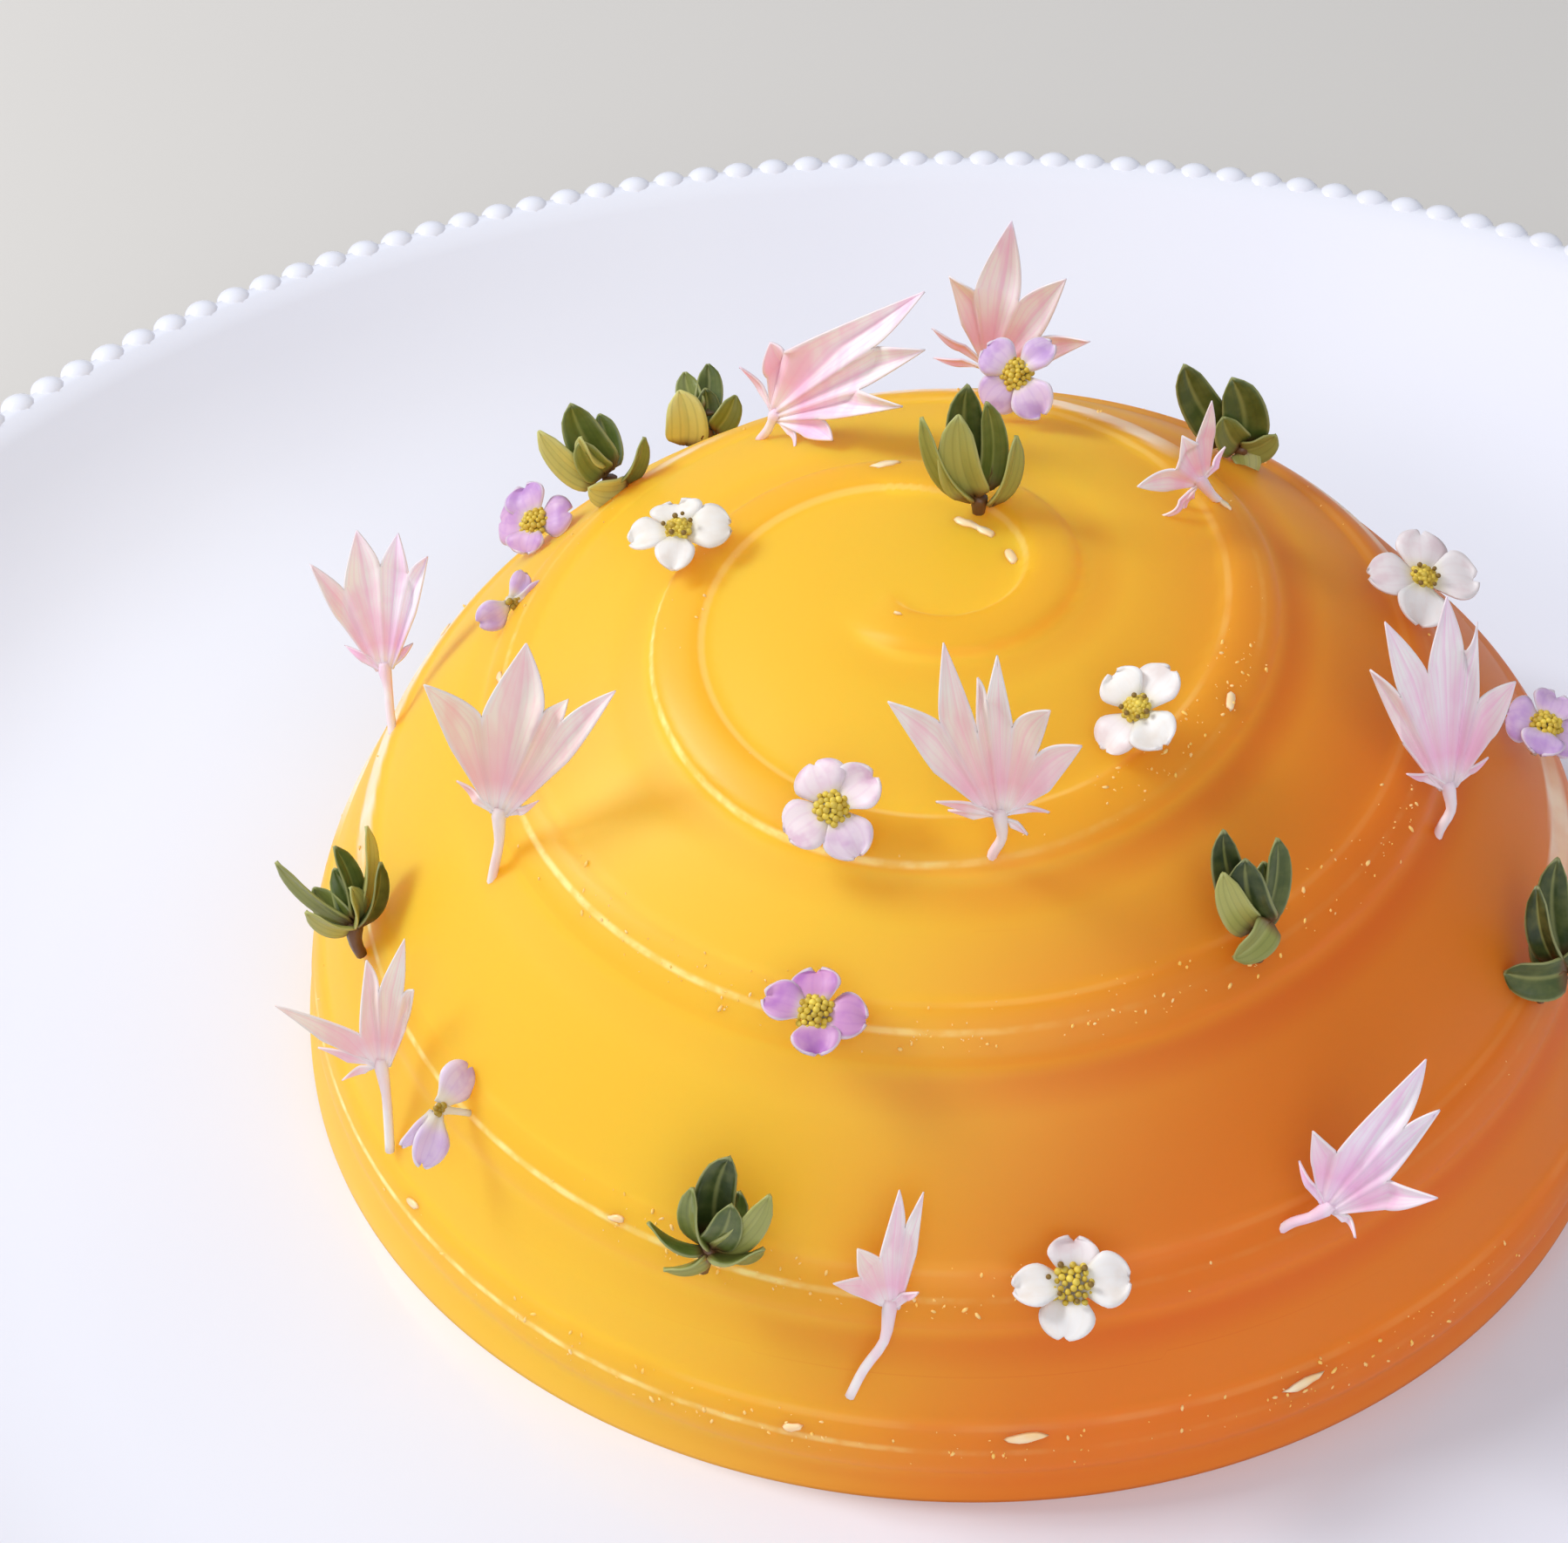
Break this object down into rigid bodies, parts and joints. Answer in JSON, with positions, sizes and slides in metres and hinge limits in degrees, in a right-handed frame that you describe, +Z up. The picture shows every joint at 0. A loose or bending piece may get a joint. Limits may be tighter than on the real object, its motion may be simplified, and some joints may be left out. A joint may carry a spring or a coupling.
{
  "type": "citrus mousse dome on plate",
  "caption": "Glossy domed mousse with a piped spiral ridge under its citrus glaze, set with pink florets, small pale blossoms and green herb tips, on a round plate with a beaded rim.",
  "frame": {"origin": "centre of the plate's foot ring, on the surface the plate stands on", "axes": "+Z up through the middle of the plate and the dome; the picture was taken from the -Y side, with +X to its right"},
  "size_m": [0.172, 0.172, 0.0484],
  "materials": {
    "porcelain": "smooth white glaze with a soft gloss",
    "citrus_glaze": "soft glossy fruit glaze over mousse, slightly translucent",
    "pink_petal": "soft translucent petal",
    "pale_petal": "soft white to lilac petal",
    "herb_leaf": "satin green leaf"
  },
  "bodies": {
    "root": {"plate": "porcelain", "mousse_dome": "citrus_glaze", "pink_floret_01": "pink_petal", "pink_floret_02": "pink_petal", "pink_floret_03": "pink_petal", "pink_floret_04": "pink_petal", "pink_floret_05": "pink_petal", "pink_floret_06": "pink_petal", "pink_floret_07": "pink_petal", "pink_floret_08": "pink_petal", "pink_floret_09": "pink_petal", "pink_floret_10": "pink_petal", "pink_floret_11": "pink_petal", "pink_floret_12": "pink_petal", "blossom_01": "pale_petal", "blossom_02": "pale_petal", "blossom_03": "pale_petal", "blossom_04": "pale_petal", "blossom_05": "pale_petal", "blossom_06": "pale_petal", "blossom_07": "pale_petal", "blossom_08": "pale_petal", "blossom_09": "pale_petal", "blossom_10": "pale_petal", "blossom_11": "pale_petal", "blossom_12": "pale_petal", "blossom_13": "pale_petal", "herb_tip_01": "herb_leaf", "herb_tip_02": "herb_leaf", "herb_tip_03": "herb_leaf", "herb_tip_04": "herb_leaf", "herb_tip_05": "herb_leaf", "herb_tip_06": "herb_leaf", "herb_tip_07": "herb_leaf", "herb_tip_08": "herb_leaf", "herb_tip_09": "herb_leaf", "herb_tip_10": "herb_leaf"}
  },
  "joints": []
}
